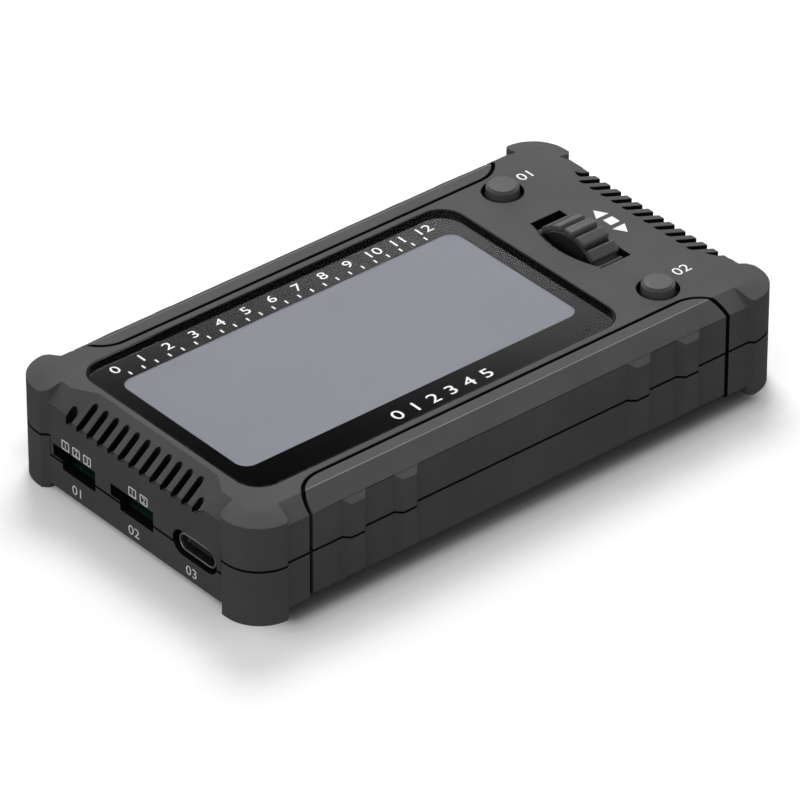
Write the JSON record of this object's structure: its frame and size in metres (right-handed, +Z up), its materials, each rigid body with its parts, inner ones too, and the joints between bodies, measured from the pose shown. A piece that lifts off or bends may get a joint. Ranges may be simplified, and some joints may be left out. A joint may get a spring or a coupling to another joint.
{
  "type": "handheld programming box",
  "caption": "Flat handheld box with a large screen, two round push buttons, a ribbed press-and-turn thumb wheel, vents at both ends and sockets at one end.",
  "frame": {"origin": "middle of the footprint, at the underside of the feet", "axes": "+X from the port end to the control end, +Y across, +Z up through the screen"},
  "size_m": [0.1086, 0.0606, 0.0217],
  "materials": {
    "case_plastic": "fine matt texture, dark grey",
    "grip_plastic": "fine matt texture, dark grey",
    "control_plastic": "satin, dark grey",
    "lens": "polished, black printed rim round a clear window",
    "screen": "unlit liquid crystal panel, grey blue",
    "white_plastic": "moulded",
    "black_plastic": "moulded",
    "board": "green solder mask",
    "flex": "amber film",
    "gold_pins": "plated",
    "steel": "bright"
  },
  "bodies": {
    "case": {"top_shell": "case_plastic", "bottom_shell": "case_plastic", "near_grip_upper": "grip_plastic", "near_grip_lower": "grip_plastic", "far_grip_upper": "grip_plastic", "far_grip_lower": "grip_plastic", "cover_glass": "lens", "lcd_panel": "screen", "backlight": "white_plastic", "lcd_frame": "white_plastic", "flex_connector": "white_plastic", "glass_tape": "black_plastic", "processor": "black_plastic", "memory_chip": "black_plastic", "voltage_regulator": "black_plastic", "signal_header": "black_plastic", "power_header": "black_plastic", "usb_tongue": "black_plastic", "far_switch": "black_plastic", "near_switch": "black_plastic", "press_switch": "black_plastic", "power_inductor": "black_plastic", "main_board": "board", "radio_board": "board", "display_flex": "flex", "signal_pins": "gold_pins", "power_pins": "gold_pins", "capacitors": "steel", "clock_crystal": "steel", "radio_shield": "steel", "usb_shell": "steel", "guide_pins": "steel", "board_screws": "steel", "case_screws": "steel"},
    "far_button": {"far_button": "control_plastic", "far_plunger": "white_plastic"},
    "near_button": {"near_button": "control_plastic", "near_plunger": "white_plastic"},
    "wheel_carrier": {"wheel_carrier": "black_plastic", "wheel_axle": "steel", "encoder": "black_plastic", "press_plunger": "white_plastic"},
    "wheel": {"thumb_wheel": "control_plastic"}
  },
  "joints": [
    {"name": "far_button_press", "type": "slide", "parent": "case", "child": "far_button", "axis": [0, 0, -1], "range_m": [0, 0.00035], "stiffness_N_per_m": 1500, "springref_m": -0.0004},
    {"name": "near_button_press", "type": "slide", "parent": "case", "child": "near_button", "axis": [0, 0, -1], "range_m": [0, 0.00035], "stiffness_N_per_m": 1500, "springref_m": -0.0004},
    {"name": "wheel_press", "type": "slide", "parent": "case", "child": "wheel_carrier", "axis": [0, 0, -1], "range_m": [0, 0.00035], "stiffness_N_per_m": 1800, "springref_m": -0.0004},
    {"name": "wheel_spin", "type": "hinge", "parent": "wheel_carrier", "child": "wheel", "pos_m": [0.03715, 0, 0.0124], "axis": [1, 0, 0], "continuous": true}
  ]
}
